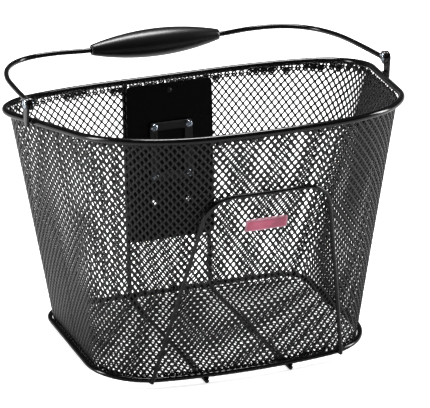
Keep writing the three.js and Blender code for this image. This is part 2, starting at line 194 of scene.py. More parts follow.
def full_turn(steps):
    return np.linspace(0, 2 * np.pi, steps, endpoint=False)


def tube_data(points, radius, sides=20, closed=False):
    """Vertices and faces of a rod along points in millimetres, its ends rounded over."""
    p = np.asarray(points, float)
    n = len(p)
    if closed:
        tangent = np.roll(p, -1, 0) - np.roll(p, 1, 0)
    else:
        tangent = np.gradient(p, axis=0)
    tangent /= np.linalg.norm(tangent, axis=1, keepdims=True)
    normal = np.zeros_like(p)
    first = np.cross(tangent[0], [0, 0, 1.0])
    if np.linalg.norm(first) < 0.2:
        first = np.cross(tangent[0], [1.0, 0, 0])
    normal[0] = first / np.linalg.norm(first)
    for i in range(1, n):
        side = normal[i - 1] - tangent[i] * (normal[i - 1] @ tangent[i])
        normal[i] = side / np.linalg.norm(side)
    if closed:
        back = normal[-1] - tangent[0] * (normal[-1] @ tangent[0])
        across = np.cross(tangent[0], normal[0])
        twist = math.atan2(back @ across, back @ normal[0])
        for i in range(n):
            a = -twist * i / n
            b = np.cross(tangent[i], normal[i])
            normal[i] = normal[i] * math.cos(a) + b * math.sin(a)
    rings = [(p[i], tangent[i], normal[i], radius) for i in range(n)]
    if not closed:
        def rounded(at, along, side):
            return [(at + along * radius * 0.45 * math.sin(a), along, side, radius * math.cos(a) ** 0.6)
                    for a in np.radians([20, 42, 62, 80])]
        start = [(c, tangent[0], m, r) for c, _, m, r in rounded(p[0], -tangent[0], normal[0])][::-1]
        end = rounded(p[-1], tangent[-1], normal[-1])
        rings = start + rings + end
    angles = full_turn(sides)
    verts = []
    for c, t, m, r in rings:
        b = np.cross(t, m)
        verts.extend(c + r * (m * math.cos(a) + b * math.sin(a)) for a in angles)
    faces = []
    count = len(rings)
    for i in range(count if closed else count - 1):
        a, b = i * sides, ((i + 1) % count) * sides
        for k in range(sides):
            q = (k + 1) % sides
            faces.append((a + k, a + q, b + q, b + k))
    if not closed:
        faces.append(tuple(range(sides))[::-1])
        faces.append(tuple(range((count - 1) * sides, count * sides)))
    return np.array(verts), faces


def tube(name, points, radius, node, closed=False, sides=20):
    """A black rod on the basket that stands for a CAD node."""
    verts, faces = tube_data(points, radius, sides, closed)
    obj = new_object(name, to_frame(verts), faces, COAT)
    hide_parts(node)


def smooth_line(points, count):
    """A Catmull-Rom line through points, resampled evenly."""
    p = np.asarray(points, float)
    ext = np.vstack([2 * p[0] - p[1], p, 2 * p[-1] - p[-2]])
    out = []
    for i in range(1, len(ext) - 2):
        p0, p1, p2, p3 = ext[i - 1:i + 3]
        d = [max(np.linalg.norm(b - a), 1e-6) ** 0.5 for a, b in ((p0, p1), (p1, p2), (p2, p3))]
        t1, t2, t3 = d[0], d[0] + d[1], d[0] + d[1] + d[2]
        for t in np.linspace(t1, t2, 14, endpoint=False):
            a1 = (t1 - t) / t1 * p0 + t / t1 * p1
            a2 = (t2 - t) / (t2 - t1) * p1 + (t - t1) / (t2 - t1) * p2
            a3 = (t3 - t) / (t3 - t2) * p2 + (t - t2) / (t3 - t2) * p3
            b1 = (t2 - t) / t2 * a1 + t / t2 * a2
            b2 = (t3 - t) / (t3 - t1) * a2 + (t - t1) / (t3 - t1) * a3
            out.append((t2 - t) / (t2 - t1) * b1 + (t - t1) / (t2 - t1) * b2)
    out.append(ext[-2])
    return resample(out, count)


def lathe_data(profile, sides):
    """A shape turned about X from (radius, along) pairs, its ends on the axis or its loop closed."""
    closed = profile[0] == profile[-1]
    pts = profile[:-1] if closed else profile
    verts, faces, rings = [], [], []
    for r, s in pts:
        if r < 1e-9:
            rings.append([len(verts)] * sides)
            verts.append((s, 0, 0))
        else:
            rings.append(list(range(len(verts), len(verts) + sides)))
            verts.extend((s, r * math.cos(a), r * math.sin(a)) for a in full_turn(sides))
    pairs = list(zip(rings, rings[1:]))
    if closed:
        pairs.append((rings[-1], rings[0]))
    for a, b in pairs:
        for k in range(sides):
            q = (k + 1) % sides
            face = []
            for i in (a[k], b[k], b[q], a[q]):
                if i not in face:
                    face.append(i)
            if len(face) > 2:
                faces.append(tuple(face))
    return np.array(verts, float), faces


# ---- materials -----------------------------------------------------------------
def node_material(name):
    material = bpy.data.materials.new(name)
    material.use_nodes = True
    tree = material.node_tree
    shader = tree.nodes["Principled BSDF"]
    return material, tree, shader


def add_noise(tree, scale, detail, rough=0.55):
    coords = tree.nodes.new("ShaderNodeTexCoord")
    noise = tree.nodes.new("ShaderNodeTexNoise")
    noise.inputs["Scale"].default_value = scale
    noise.inputs["Detail"].default_value = detail
    noise.inputs["Roughness"].default_value = rough
    tree.links.new(coords.outputs["Object"], noise.inputs["Vector"])
    return noise.outputs["Fac"]


def ramp(tree, source, low, high, first, second):
    node = tree.nodes.new("ShaderNodeValToRGB")
    node.color_ramp.elements[0].position = low
    node.color_ramp.elements[1].position = high
    node.color_ramp.elements[0].color = first
    node.color_ramp.elements[1].color = second
    tree.links.new(source, node.inputs["Fac"])
    return node.outputs["Color"]


def spread(tree, source, low, high):
    node = tree.nodes.new("ShaderNodeMapRange")
    node.inputs["From Min"].default_value = 0.3
    node.inputs["From Max"].default_value = 0.7
    node.inputs["To Min"].default_value = low
    node.inputs["To Max"].default_value = high
    tree.links.new(source, node.inputs["Value"])
    return node.outputs["Result"]


def add_bump(tree, shader, source, distance):
    node = tree.nodes.new("ShaderNodeBump")
    node.inputs["Distance"].default_value = distance
    tree.links.new(source, node.inputs["Height"])
    tree.links.new(node.outputs["Normal"], shader.inputs["Normal"])


def powder_coat(name, tone, rough, peel=0.00006, gloss=0.5):
    """Powder coat: an even dark colour with orange peel, faint clouding and small changes in gloss."""
    material, tree, shader = node_material(name)
    cloud = add_noise(tree, 60.0, 4.0)
    peel_noise = add_noise(tree, 900.0, 2.0, 0.5)
    dark = tuple(c * 0.75 for c in tone) + (1,)
    light = tuple(c * 1.5 for c in tone) + (1,)
    tree.links.new(ramp(tree, cloud, 0.35, 0.7, dark, light), shader.inputs["Base Color"])
    tree.links.new(spread(tree, cloud, rough * 0.85, rough * 1.2), shader.inputs["Roughness"])
    shader.inputs["Specular IOR Level"].default_value = gloss
    add_bump(tree, shader, peel_noise, peel)
    return material


def plated(name, tone, rough):
    material, tree, shader = node_material(name)
    fine = add_noise(tree, 700.0, 5.0, 0.6)
    cloud = add_noise(tree, 150.0, 3.0)
    dark = tuple(c * 0.72 for c in tone) + (1,)
    light = tuple(min(1, c * 1.15) for c in tone) + (1,)
    tree.links.new(ramp(tree, cloud, 0.35, 0.65, dark, light), shader.inputs["Base Color"])
    tree.links.new(spread(tree, fine, rough * 0.8, rough * 1.3), shader.inputs["Roughness"])
    shader.inputs["Metallic"].default_value = 1.0
    add_bump(tree, shader, fine, 0.00004)
    return material


def moulded(name, tone, rough, grain=2600.0, depth=0.00005, gloss=0.45):
    """Moulded plastic with a fine spark-eroded grain."""
    material, tree, shader = node_material(name)
    fine = add_noise(tree, grain, 3.0, 0.6)
    cloud = add_noise(tree, 45.0, 3.0)
    dark = tuple(c * 0.8 for c in tone) + (1,)
    light = tuple(c * 1.3 for c in tone) + (1,)
    tree.links.new(ramp(tree, cloud, 0.35, 0.7, dark, light), shader.inputs["Base Color"])
    tree.links.new(spread(tree, fine, rough * 0.88, rough * 1.14), shader.inputs["Roughness"])
    shader.inputs["Specular IOR Level"].default_value = gloss
    add_bump(tree, shader, fine, depth)
    return material


COAT = powder_coat("black_powder_coat", (0.003, 0.003, 0.0032), 0.13, 0.00003, 0.42)
MESH_COAT = powder_coat("mesh_powder_coat", (0.003, 0.003, 0.0032), 0.2, 0.00003, 0.4)
PLATE_COAT = powder_coat("plate_powder_coat", (0.0012, 0.0012, 0.0013), 0.3, 0.00005, 0.12)
FRAME_COAT = powder_coat("dark_grey_coat", (0.014, 0.0145, 0.017), 0.3, 0.00005, 0.4)
ZINC = plated("zinc_plate", (0.62, 0.70, 0.80), 0.2)
PLASTIC = moulded("black_plastic", (0.008, 0.008, 0.009), 0.42)
GRIP_PLASTIC = moulded("grip_plastic", (0.004, 0.004, 0.0045), 0.3, 1500.0, 0.00003, 0.45)
BADGE_FACE = moulded("badge_face", (0.95, 0.22, 0.35), 0.3, 1800.0, 0.00002, 0.4)
BADGE_EDGE = moulded("badge_edge", (0.98, 0.45, 0.58), 0.28, 1800.0, 0.00002, 0.4)


# ---- expanded metal ------------------------------------------------------------
COLUMNS = 142
ROW = 9.1
STRAND, STRAND_SWELL = 1.85, 0.2
SHEET = 0.9
TILT = 0.34
ARCH = 25.0


def lattice(cells, place, half_wide, half_high, strand, wrap=None):
    """Expanded metal. cells are (i, j) with i + j even, in half pitches; place turns (x, y, depth) in
    half pitches and millimetres into millimetres, and strand gives a column's strand width. Strands slope
    through the sheet as real ones do."""
    cells = np.asarray(cells)
    key = {}

    def node(i, j):
        if wrap:
            i %= wrap
        return key.setdefault((i, j), len(key))

    def hole(i):
        """Hole corners: left, bottom, right and top pair, each with its slope through the sheet."""
        share = 1 - strand(i) / 2 * math.hypot(1 / half_wide, 1 / half_high)
        cut_x, cut_y = 0.10, 0.05
        sx, sy = share - cut_x, share - cut_y
        hx, hy = cut_x * 0.9, cut_y * 0.9
        return [(-sx, hx, -1), (-sx, -hx, -1), (-hy, -sy, -0.15), (hy, -sy, 0.15),
                (sx, -hx, 1), (sx, hx, 1), (hy, sy, 0.15), (-hy, sy, -0.15)]


    def cell_key(i, j):
        return (int(i) % wrap if wrap else int(i)), int(j)

    present = {cell_key(i, j) for i, j in cells}
    corner_ids = np.array([[node(i - 1, j), node(i, j - 1), node(i + 1, j), node(i, j + 1)]
                           for i, j in cells])
    nodes = np.array(list(key.keys()), float)
    count, n_nodes = len(cells), len(nodes)
    top, low = SHEET / 2, -SHEET / 2
    edge = 0.62
    flat = np.array([(i + dx, j + dy, s * TILT) for i, j in cells for dx, dy, s in hole(i)], float)
    verts = np.vstack([
        np.column_stack([nodes, np.full(n_nodes, top)]), np.column_stack([nodes, np.full(n_nodes, low)]),
        flat + [0, 0, top * edge], flat + [0, 0, low * edge],
    ])
    hole_top = 2 * n_nodes + np.arange(count * 8).reshape(count, 8)
    hole_low = hole_top + count * 8
    quads, tris = [], []
    for k in range(4):
        a, b = corner_ids[:, k], corner_ids[:, (k + 1) % 4]
        h0, h1, h2 = 2 * k, 2 * k + 1, (2 * k + 2) % 8
        tris.append(np.column_stack([a, hole_top[:, h1], hole_top[:, h0]]))
        tris.append(np.column_stack([a + n_nodes, hole_low[:, h0], hole_low[:, h1]]))
        quads.append(np.column_stack([a, b, hole_top[:, h2], hole_top[:, h1]]))
        quads.append(np.column_stack([a + n_nodes, hole_low[:, h1], hole_low[:, h2], b + n_nodes]))
    for k in range(8):
        q = (k + 1) % 8
        quads.append(np.column_stack([hole_top[:, k], hole_top[:, q], hole_low[:, q], hole_low[:, k]]))
    for k, (di, dj) in enumerate(((-1, -1), (1, -1), (1, 1), (-1, 1))):
        a, b = corner_ids[:, k], corner_ids[:, (k + 1) % 4]
        bare = np.array([cell_key(i + di, j + dj) not in present for i, j in cells])
        if bare.any():
            quads.append(np.column_stack([b, a, a + n_nodes, b + n_nodes])[bare])
    where = place(verts[:, 0], verts[:, 1], verts[:, 2])
    return where, np.vstack(quads), np.vstack(tris)


def lattice_object(name, data):
    """A mesh-coated piece of the basket from lattice data."""
    where, quads, tris = data
    where = to_frame(where)
    mesh = bpy.data.meshes.new(name)
    n_loops = len(quads) * 4 + len(tris) * 3
    mesh.vertices.add(len(where))
    mesh.vertices.foreach_set("co", where.astype(np.float32).ravel())
    mesh.loops.add(n_loops)
    mesh.loops.foreach_set("vertex_index", np.concatenate([quads.ravel(), tris.ravel()]).astype(np.int32))
    mesh.polygons.add(len(quads) + len(tris))
    starts = np.concatenate([np.arange(len(quads)) * 4, len(quads) * 4 + np.arange(len(tris)) * 3])
    mesh.polygons.foreach_set("loop_start", starts.astype(np.int32))
    mesh.update(calc_edges=True)
    return finish_object(name, mesh, MESH_COAT, "basket")


def soft_clamp(h, low, high, give=0.12):
    """Past either end the strands are crushed into the fold, not cut."""
    over, under = np.maximum(h - high, 0), np.maximum(low - h, 0)
    return h - over * (1 - give) - under * (1 - give)


def arch(u):
    """The rows of the rolled sheet drop a little away from the back."""
    return -ARCH / 2 * (1 - np.cos(2 * np.pi * u))


EDGE_ROOM = 0.6   # kept clear of the sheet's top and bottom edges


def wall_place(inward=0.0, phase=0.0):
    def place(x, y, depth):
        u = x / (2 * COLUMNS) + phase
        h = soft_clamp(y * ROW / 2 + arch(u), EDGE_ROOM, wall_height(u) - EDGE_ROOM)
        return on_wall(u, h, inward + depth)
    return place


def wall_cells(start, stop, low, high, phase=0.0):
    """Cells from column start to stop whose middles lie between low(u, top) and high(u, top)."""
    found = []
    for i in range(start, stop):
        u = np.array([i / (2 * COLUMNS) + phase])
        top, base = float(wall_height(u)[0]), float(arch(u)[0])
        first = math.ceil((low(u[0], top) - base) / (ROW / 2))
        last = math.floor((high(u[0], top) - base) / (ROW / 2))
        found.extend((i, j) for j in range(first, last + 1) if (i + j) % 2 == 0)
    return found


rim_round = np.linalg.norm(np.diff(GRID[-1], axis=0), axis=1).sum()
PITCH_HALF = rim_round / COLUMNS / 2
quarter = COLUMNS // 2
all_round = 2 * COLUMNS
full = (lambda u, top: 0.4, lambda u, top: top - 0.8)


def wall_strand(i):
    """Strand width by column: a little wider at the front, chosen for how dark each wall looks."""
    return STRAND - STRAND_SWELL * math.cos(math.pi * i / COLUMNS)


def wall_lattice(start, stop):
    return lattice(wall_cells(start, stop, *full), wall_place(), PITCH_HALF, ROW / 2, wall_strand)


back_half = wall_lattice(-quarter, quarter)
front_half = wall_lattice(quarter, all_round - quarter)
wall_back = lattice_object("wall_mesh_back", back_half)
wall_front = lattice_object("wall_mesh_front", front_half)
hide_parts("wall_mesh")
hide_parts("wall_mesh")

# the sheet is folded over on itself under the rim, and turned up round the foot
HEM_TOP, HEM_LOW, HEM_STRAND, HEM_INWARD = 7.5, 5.0, 3.2, 0.95


def ragged(u, size):
    return size * (0.5 * math.sin(61 * u) + 0.3 * math.sin(173 * u + 1) + 0.4 * math.sin(389 * u + 2))


hem_phase = 0.5 / COLUMNS
hem_top = wall_cells(0, all_round, lambda u, top: top - HEM_TOP - ragged(u, 1.6), full[1], hem_phase)
hem_low = wall_cells(0, all_round, full[0], lambda u, top: HEM_LOW + ragged(u, 0.8), hem_phase)
hem_place = wall_place(HEM_INWARD, hem_phase)
for name, cells in (("mesh_hem_top", hem_top), ("mesh_hem_low", hem_low)):
    data = lattice(cells, hem_place, PITCH_HALF, ROW / 2, lambda i: HEM_STRAND, all_round)
    lattice_object(name, data)

# ---- floor sheet -----------------------------------------------------------------
FLOOR_X, FLOOR_Y, FLOOR_STRAND = 7.0, 9.0, 1.95
floor_edge = whole(RING, RING_INSET + 0.7)
FLOOR_Z = MESH_LOW + 0.4


def inside(points):
    """How far points are inside the floor's edge: positive inside."""
    a, b = floor_edge[:-1], floor_edge[1:]
    out = []
    for p in points:
        ab, ap = b - a, p - a
        t = np.clip((ap * ab).sum(1) / (ab ** 2).sum(1), 0, 1)
        gap = ap - ab * t[:, None]
        k = np.argmin((gap ** 2).sum(1))
        side = ab[k][0] * gap[k][1] - ab[k][1] * gap[k][0]
        out.append(-math.copysign(math.hypot(*gap[k]), side))
    return np.array(out)


floor_middle = (floor_edge[:, 1].min() + floor_edge[:, 1].max()) / 2


def floor_place(x, y, depth):
    fx, fy = x * FLOOR_X / 2, floor_middle + y * FLOOR_Y / 2
    pts = np.column_stack([fx, fy])
    centre = np.array([0.0, floor_middle])
    d = inside(pts)
    for _ in range(3):
        out = d < 0
        if not out.any():
            break
        away = pts[out] - centre
        away /= np.linalg.norm(away, axis=1, keepdims=True)
        pts[out] += away * d[out][:, None]
        d[out] = inside(pts[out])
    return np.column_stack([pts, FLOOR_Z + depth])


floor_reach = (int(160 / FLOOR_X * 2), int(120 / FLOOR_Y * 2))
floor_cells = [(i, j) for i in range(-floor_reach[0], floor_reach[0] + 1)
               for j in range(-floor_reach[1], floor_reach[1] + 1) if (i + j) % 2 == 0]
keep = inside([(i * FLOOR_X / 2, floor_middle + j * FLOOR_Y / 2) for i, j in floor_cells]) > 0.3
floor_cells = [c for c, k in zip(floor_cells, keep) if k]
floor_data = lattice(floor_cells, floor_place, FLOOR_X / 2, FLOOR_Y / 2, lambda i: FLOOR_STRAND)
floor_mesh = lattice_object("floor_mesh_lattice", floor_data)
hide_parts("floor_mesh")

# ---- rods ------------------------------------------------------------------------
rim_line = whole(RIM)[:-1]
rim_line = resample(np.column_stack([rim_line, rim_z(rim_line[:, 1])]), 400, closed=True)
ring_line = whole(RING)[:-1]
ring_line = resample(np.column_stack([ring_line, np.zeros(len(ring_line))]), 320, closed=True)
tube("rim_rod", rim_line, RIM_ROD, "top_rim", closed=True, sides=24)
tube("ring_rod", ring_line, RING_ROD, "bottom_ring", closed=True)

LOW_HALF, HIGH_HALF = outline(RING), outline(RIM)


def front_y(x, z):
    """Where the ruled sheet from ring to rim has its front, at height z and distance x from the middle."""
    low = np.column_stack([LOW_HALF[:, :2], np.zeros(len(LOW_HALF))])
    high = np.column_stack([HIGH_HALF[:, :2], rim_z(HIGH_HALF[:, 1])])
    t = z / high[:, 2:3]
    section = (low + (high - low) * t)[LOW_HALF[:, 2] > 3.5]
    order = np.argsort(section[:, 0])
    return float(np.interp(abs(x), section[order, 0], section[order, 1]))


for side, x in (("left", -SKID_X), ("right", SKID_X)):
    line = [(x, RIM_ROD + 0.3 + SKID_ROD, SKID_TOP)]
    line += [(x, RING_BACK_Y + SKID_WRAP * math.cos(a), -SKID_WRAP * math.sin(a))
             for a in np.radians(range(0, 91, 6))]
    line.append((x, front_y(x, 0) - RING_ROD, -SKID_WRAP))
    tube(f"skid_rod_{side}", line, SKID_ROD, f"back_rod_{side}")

LOOP = dict(foot=(97.0, -1.0), corner=(59.0, 200.5), bend=27.0, foot_out=5.4, top_out=-0.4)
foot, corner = np.array(LOOP["foot"]), np.array(LOOP["corner"])
bend_low = corner + (foot - corner) / np.linalg.norm(foot - corner) * LOOP["bend"]
bend_high = corner - [LOOP["bend"], 0]
half = [foot + (bend_low - foot) * i / 30 for i in range(31)]
half += [bend_low * (1 - t) ** 2 + corner * 2 * t * (1 - t) + bend_high * t ** 2
         for t in np.linspace(0, 1, 21)[1:]]
half += [bend_high * (1 - t) + np.array([0, LOOP["corner"][1]]) * t for t in np.linspace(0, 1, 9)[1:]]
loop_flat = half + [p * [-1, 1] for p in half[:-1][::-1]]
loop_line = []
for lx, lz in loop_flat:
    out = LOOP["foot_out"] + (LOOP["top_out"] - LOOP["foot_out"]) * lz / LOOP["corner"][1]
    loop_line.append((lx, front_y(lx, lz) - out, lz))
tube("front_loop_wire", resample(loop_line, 150), LOOP_WIRE, "front_wire_loop", sides=18)


# ---- flat pieces on the walls ----------------------------------------------------
class Wall:
    """A wall's own frame: x across, z up the sheet and depth inwards from its middle."""

    def __init__(self, low_y, high_y, high_z, middle_z):
        slope = (high_y - low_y) / (high_z - MESH_LOW)
        self.origin = np.array([0, low_y + slope * (middle_z - MESH_LOW), middle_z])
        a = -math.atan(slope)
        self.turn = np.array([[1, 0, 0], [0, math.cos(a), -math.sin(a)], [0, math.sin(a), math.cos(a)]])

    def place(self, points):
        p = np.asarray(points, float)
        local = np.column_stack([p[:, 0], -p[:, 1], p[:, 2]])
        return local @ self.turn.T + self.origin


BADGE_Z = 166.0
ring_front, rim_front = LOW_HALF[-1, 1], HIGH_HALF[-1, 1]
back_wall = Wall(RING_BACK_Y - RING_INSET, -RIM_INSET, RIM_BACK_Z, 0.0)
front_wall = Wall(ring_front + RING_INSET, rim_front + RIM_INSET, rim_z(rim_front), BADGE_Z)


def rounded_rect(half, low, high, radius, steps=8):
    pts = []
    for cx, cz, start in ((half - radius, low + radius, -90), (half - radius, high - radius, 0),
                          (-half + radius, high - radius, 90), (-half + radius, low + radius, 180)):
        pts.extend((cx + radius * math.cos(a), cz + radius * math.sin(a))
                   for a in np.radians(np.linspace(start, start + 90, steps)))
    return pts


def ring_of(x, z, radius, steps=36):
    return [(x + radius * math.cos(a), z + radius * math.sin(a)) for a in full_turn(steps)]


def sheet_piece(outer, holes, rear, fore, edge=0.3, rounds=2):
    """A flat piece with holes and rounded edges: vertices as (x, depth, z), and faces."""
    curve = bpy.data.curves.new("flat", "CURVE")
    curve.dimensions = "2D"
    curve.fill_mode = "BOTH"
    curve.extrude = (fore - rear) / 2 - edge
    curve.bevel_depth = edge
    curve.bevel_resolution = rounds
    curve.offset = -edge
    for loop in [outer] + list(holes):
        spline = curve.splines.new("POLY")
        spline.points.add(len(loop) - 1)
        spline.points.foreach_set("co", [c for x, z in loop for c in (x, z, 0, 1)])
        spline.use_cyclic_u = True
    holder = bpy.data.objects.new("flat", curve)
    bpy.context.scene.collection.objects.link(holder)
    graph = bpy.context.evaluated_depsgraph_get()
    mesh = bpy.data.meshes.new_from_object(holder.evaluated_get(graph))
    bpy.data.objects.remove(holder)
    bpy.data.curves.remove(curve)
    bm = bmesh.new()
    bm.from_mesh(mesh)
    bmesh.ops.remove_doubles(bm, verts=bm.verts, dist=1e-4)
    bmesh.ops.recalc_face_normals(bm, faces=bm.faces)
    verts = np.array([(v.co.x, v.co.z + (rear + fore) / 2, v.co.y) for v in bm.verts])
    faces = [tuple(v.index for v in f.verts) for f in bm.faces]
    bm.free()
    bpy.data.meshes.remove(mesh)
    return verts, faces


def fix_normals(obj):
    bm = bmesh.new()
    bm.from_mesh(obj.data)
    bmesh.ops.recalc_face_normals(bm, faces=bm.faces)
    bm.to_mesh(obj.data)
    bm.free()


def even_shading(obj):
    """Lets the big flat faces set the normals, so the rounded edges don't shade them."""
    weigh = obj.modifiers.new("even_shading", "WEIGHTED_NORMAL")
    weigh.weight = 100
    weigh.keep_sharp = True


def flat_object(name, data, wall, material, replaces=(), angle=40):
    verts, faces = data
    obj = new_object(name, to_frame(wall.place(verts)), faces, material, "basket", True, angle)
    fix_normals(obj)
    even_shading(obj)
    if replaces:
        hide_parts(*replaces)
    return obj


SCREW_X, SCREW_UPPER, SCREW_LOWER, SCREW_HOLE = 18.3, 175.5, 124.0, 2.8
SPARE_X, SPARE_Z, PLATE_RIVET_Z, PLATE_RIVET_HOLE = 18.0, 96.5, 211.0, 1.9
screws = [(f"{row}_{side}", x, z) for row, z in (("upper", SCREW_UPPER), ("lower", SCREW_LOWER))
          for side, x in (("left", -SCREW_X), ("right", SCREW_X))]
screw_holes = [ring_of(x, z, SCREW_HOLE) for _, x, z in screws]
spare_holes = [ring_of(x, SPARE_Z, SCREW_HOLE) for x in (-SPARE_X, SPARE_X)]
plate_holes = screw_holes + spare_holes + [ring_of(0, PLATE_RIVET_Z, PLATE_RIVET_HOLE, 20)]
plate_data = sheet_piece(rounded_rect(45, 57.5, 219, 5), plate_holes, 0.7, 2.2, 0.35, 3)
flat_object("plate_back", plate_data, back_wall, PLATE_COAT, ["back_plate"])
frame_hole = rounded_rect(14.3, 128, 171.5, 1.5)
frame_data = sheet_piece(rounded_rect(22.3, 120, 179.5, 3), [frame_hole] + screw_holes, 2.5, 5.5, 0.6, 3)
flat_object("screw_frame", frame_data, back_wall, FRAME_COAT, ["counter_frame"])


def boolean(obj, other, operation="DIFFERENCE"):
    """The exact boolean of two objects, kept in the first; the second is removed."""
    modifier = obj.modifiers.new("cut", "BOOLEAN")
    modifier.operation = operation
    modifier.solver = "EXACT"
    modifier.object = other
    graph = bpy.context.evaluated_depsgraph_get()
    mesh = bpy.data.meshes.new_from_object(obj.evaluated_get(graph))
    if not mesh.polygons:
        raise RuntimeError(f"the boolean left nothing of {obj.name}")
    obj.modifiers.clear()
    old = obj.data
    obj.data = mesh
    bpy.data.meshes.remove(old)
    bpy.data.objects.remove(other)


def loose_object(name, verts, faces):
    mesh = bpy.data.meshes.new(name)
    mesh.from_pydata([tuple(v) for v in verts], [], faces)
    obj = bpy.data.objects.new(name, mesh)
    bpy.context.scene.collection.objects.link(obj)
    fix_normals(obj)
    return obj


def turned(profile, sides, x, z, wall):
    """A lathe piece on a wall from (radius, depth) pairs."""
    verts, faces = lathe_data(profile, sides)
    return wall.place(np.column_stack([verts[:, 1] + x, verts[:, 0], verts[:, 2] + z])), faces


def cut_recess(body, x, z, crown, wall, twist):
    """Cuts a Phillips recess: two tapering blades crossed, the second a little deeper."""
    for turn, sink in ((0, 0.0), (90, 0.07)):
        a = math.radians(turn + twist)
        across, along = np.array([math.cos(a), math.sin(a)]), np.array([-math.sin(a), math.cos(a)])
        verts = []
        levels = ((crown - 1.5, 0.55, 0.28), (crown - 0.9, 1.5, 0.42), (crown + 0.5, 2.35, 0.6))
        for depth, long, wide in levels:
            for s, t in ((-1, -1), (1, -1), (1, 1), (-1, 1)):
                p = across * s * long + along * t * wide
                verts.append((x + p[0], depth - sink, z + p[1]))
        faces = [(0, 1, 2, 3), (11, 10, 9, 8)]
        for k in (0, 4):
            faces += [(k + i, k + (i + 1) % 4, k + 4 + (i + 1) % 4, k + 4 + i) for i in range(4)]
        boolean(body, loose_object("blade", to_frame(wall.place(verts)), faces))


HEAD_REAR, HEAD_RISE = 5.8, 2.6
RECESS_TURNS = (20, 65, 5, 38)   # degrees, as the screws happened to stop
head_round = [(3.55, 0), (3.75, 0.2), (3.75, 0.9), (3.68, 1.3), (3.45, 1.75), (3.0, 2.15), (2.2, 2.45),
              (1.1, 2.58), (0, HEAD_RISE)]
for (place, x, z), recess_turn in zip(screws, RECESS_TURNS):
    profile = [(0, -8.4), (2.2, -8.4), (2.5, -8.0), (2.5, HEAD_REAR)]
    profile += [(r, HEAD_REAR + rise) for r, rise in head_round]
    verts, faces = turned(profile, 48, x, z, back_wall)
    body = loose_object(f"screw_pan_{place}", to_frame(verts), faces)
    cut_recess(body, x, z, HEAD_REAR + HEAD_RISE, back_wall, recess_turn)
    mesh = body.data
    mesh.shade_smooth()
    mesh.set_sharp_from_angle(angle=math.radians(35))
    mesh.materials.clear()
    mesh.materials.append(ZINC)
    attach(body, "basket")
    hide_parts(f"screw_{place}")

profile = [(0, -1.8), (2.1, -1.8), (2.4, -1.5), (2.4, -0.7), (1.6, -0.7), (1.6, 2.5), (2.4, 2.5),
           (2.4, 2.7), (2.1, 3.1), (1.3, 3.4), (0, 3.5)]
verts, faces = turned(profile, 36, 0, PLATE_RIVET_Z, back_wall)
rivet = new_object("rivet_plate", to_frame(verts), faces, FRAME_COAT, "basket", True, 35)
fix_normals(rivet)
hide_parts("plate_rivet")

# badge: a rolled edge with a plain raised face
badge_base = sheet_piece(rounded_rect(21, -6.5, 6.5, 2.5), [], 0.7, 2.6, 0.7, 4)
badge_panel = sheet_piece(rounded_rect(19.2, -4.7, 4.7, 1.6), [], 1.4, 3.0, 0.35, 3)
flat_object("badge_rim", badge_base, front_wall, BADGE_EDGE, ["badge"])
flat_object("badge_panel", badge_panel, front_wall, BADGE_FACE)
for k, x in enumerate((-12.0, 12.0)):
    verts, faces = turned([(0, -3.4), (1.0, -3.4), (1.2, -3.2), (1.2, 1.0), (0, 1.0)], 20, x, 0, front_wall)
    place = to_frame(verts)
    stud = new_object(f"badge_stud_{k + 1}", place, faces, BADGE_EDGE, angle=40)
    fix_normals(stud)

# ---- bail, grip, brackets and rivets -----------------------------------------------
PIVOT_Y, PIVOT_ABOVE, LEAN = -117.0, 17.8, 93.9
pivot = np.array([0.0, PIVOT_Y, rim_z(PIVOT_Y) + PIVOT_ABOVE])
TAB = dict(half=6.0, foot=4.5, thick=2.8, below=5.0)


def rim_half_width(y):
    section = HIGH_HALF[:, :2]
    return float(np.interp(-y, -section[:, 1], section[:, 0]))


TAB_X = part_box("handle_bracket_right")[0].x / MM
EYE_X = TAB_X - 0.3 - 1.5


def in_bail(points):
    """Bail coordinates, x across, y off the bail's plane and z away from the pivots, to millimetres."""
    a = -math.radians(LEAN)
    p = np.asarray(points, float)
    turn = np.array([[1, 0, 0], [0, math.cos(a), -math.sin(a)], [0, math.sin(a), math.cos(a)]])
    return p @ turn.T + pivot


REACH = 150.0
shoulder = [(177.6, 47), (172.2, 94), (161.5, 124), (146, 143), (125, 153), (100, 154.6), (84, 152),
            (74, REACH)]
bent = smooth_line([(TAB_X - 0.3 - BAIL_WIRE, 0, 5.2)] + [(x, 0, r) for x, r in shoulder], 90)
half_line = [tuple(p) for p in bent] + [(x, 0, REACH) for x in (67, 40, 0)]
line = half_line + [(-x, y, z) for x, y, z in half_line[:-1][::-1]]
verts, faces = tube_data(line, BAIL_WIRE, 24)
bail = loose_object("bail_wire", to_frame(in_bail(verts)), faces)
eye_round = [(2.9, -1.25), (3.1, -1.5), (5.7, -1.5), (6.15, -1.3), (6.3, -0.9), (6.3, 0.9), (6.15, 1.3),
             (5.7, 1.5), (3.1, 1.5), (2.9, 1.25), (2.9, -1.25)]
for sign in (-1, 1):
    verts, faces = lathe_data(eye_round, 64)
    eye = loose_object("eye", to_frame(in_bail(verts + [sign * EYE_X, 0, 0])), faces)
    boolean(bail, eye, "UNION")
for sign in (-1, 1):
    verts, faces = lathe_data([(0, -3), (2.9, -3), (2.9, 3), (0, 3)], 64)
    boolean(bail, loose_object("bore", to_frame(in_bail(verts + [sign * EYE_X, 0, 0])), faces))
bail.data.shade_smooth()
bail.data.set_sharp_from_angle(angle=math.radians(38))
bail.data.materials.clear()
bail.data.materials.append(COAT)
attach(bail, "bail")
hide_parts("handle_bail")

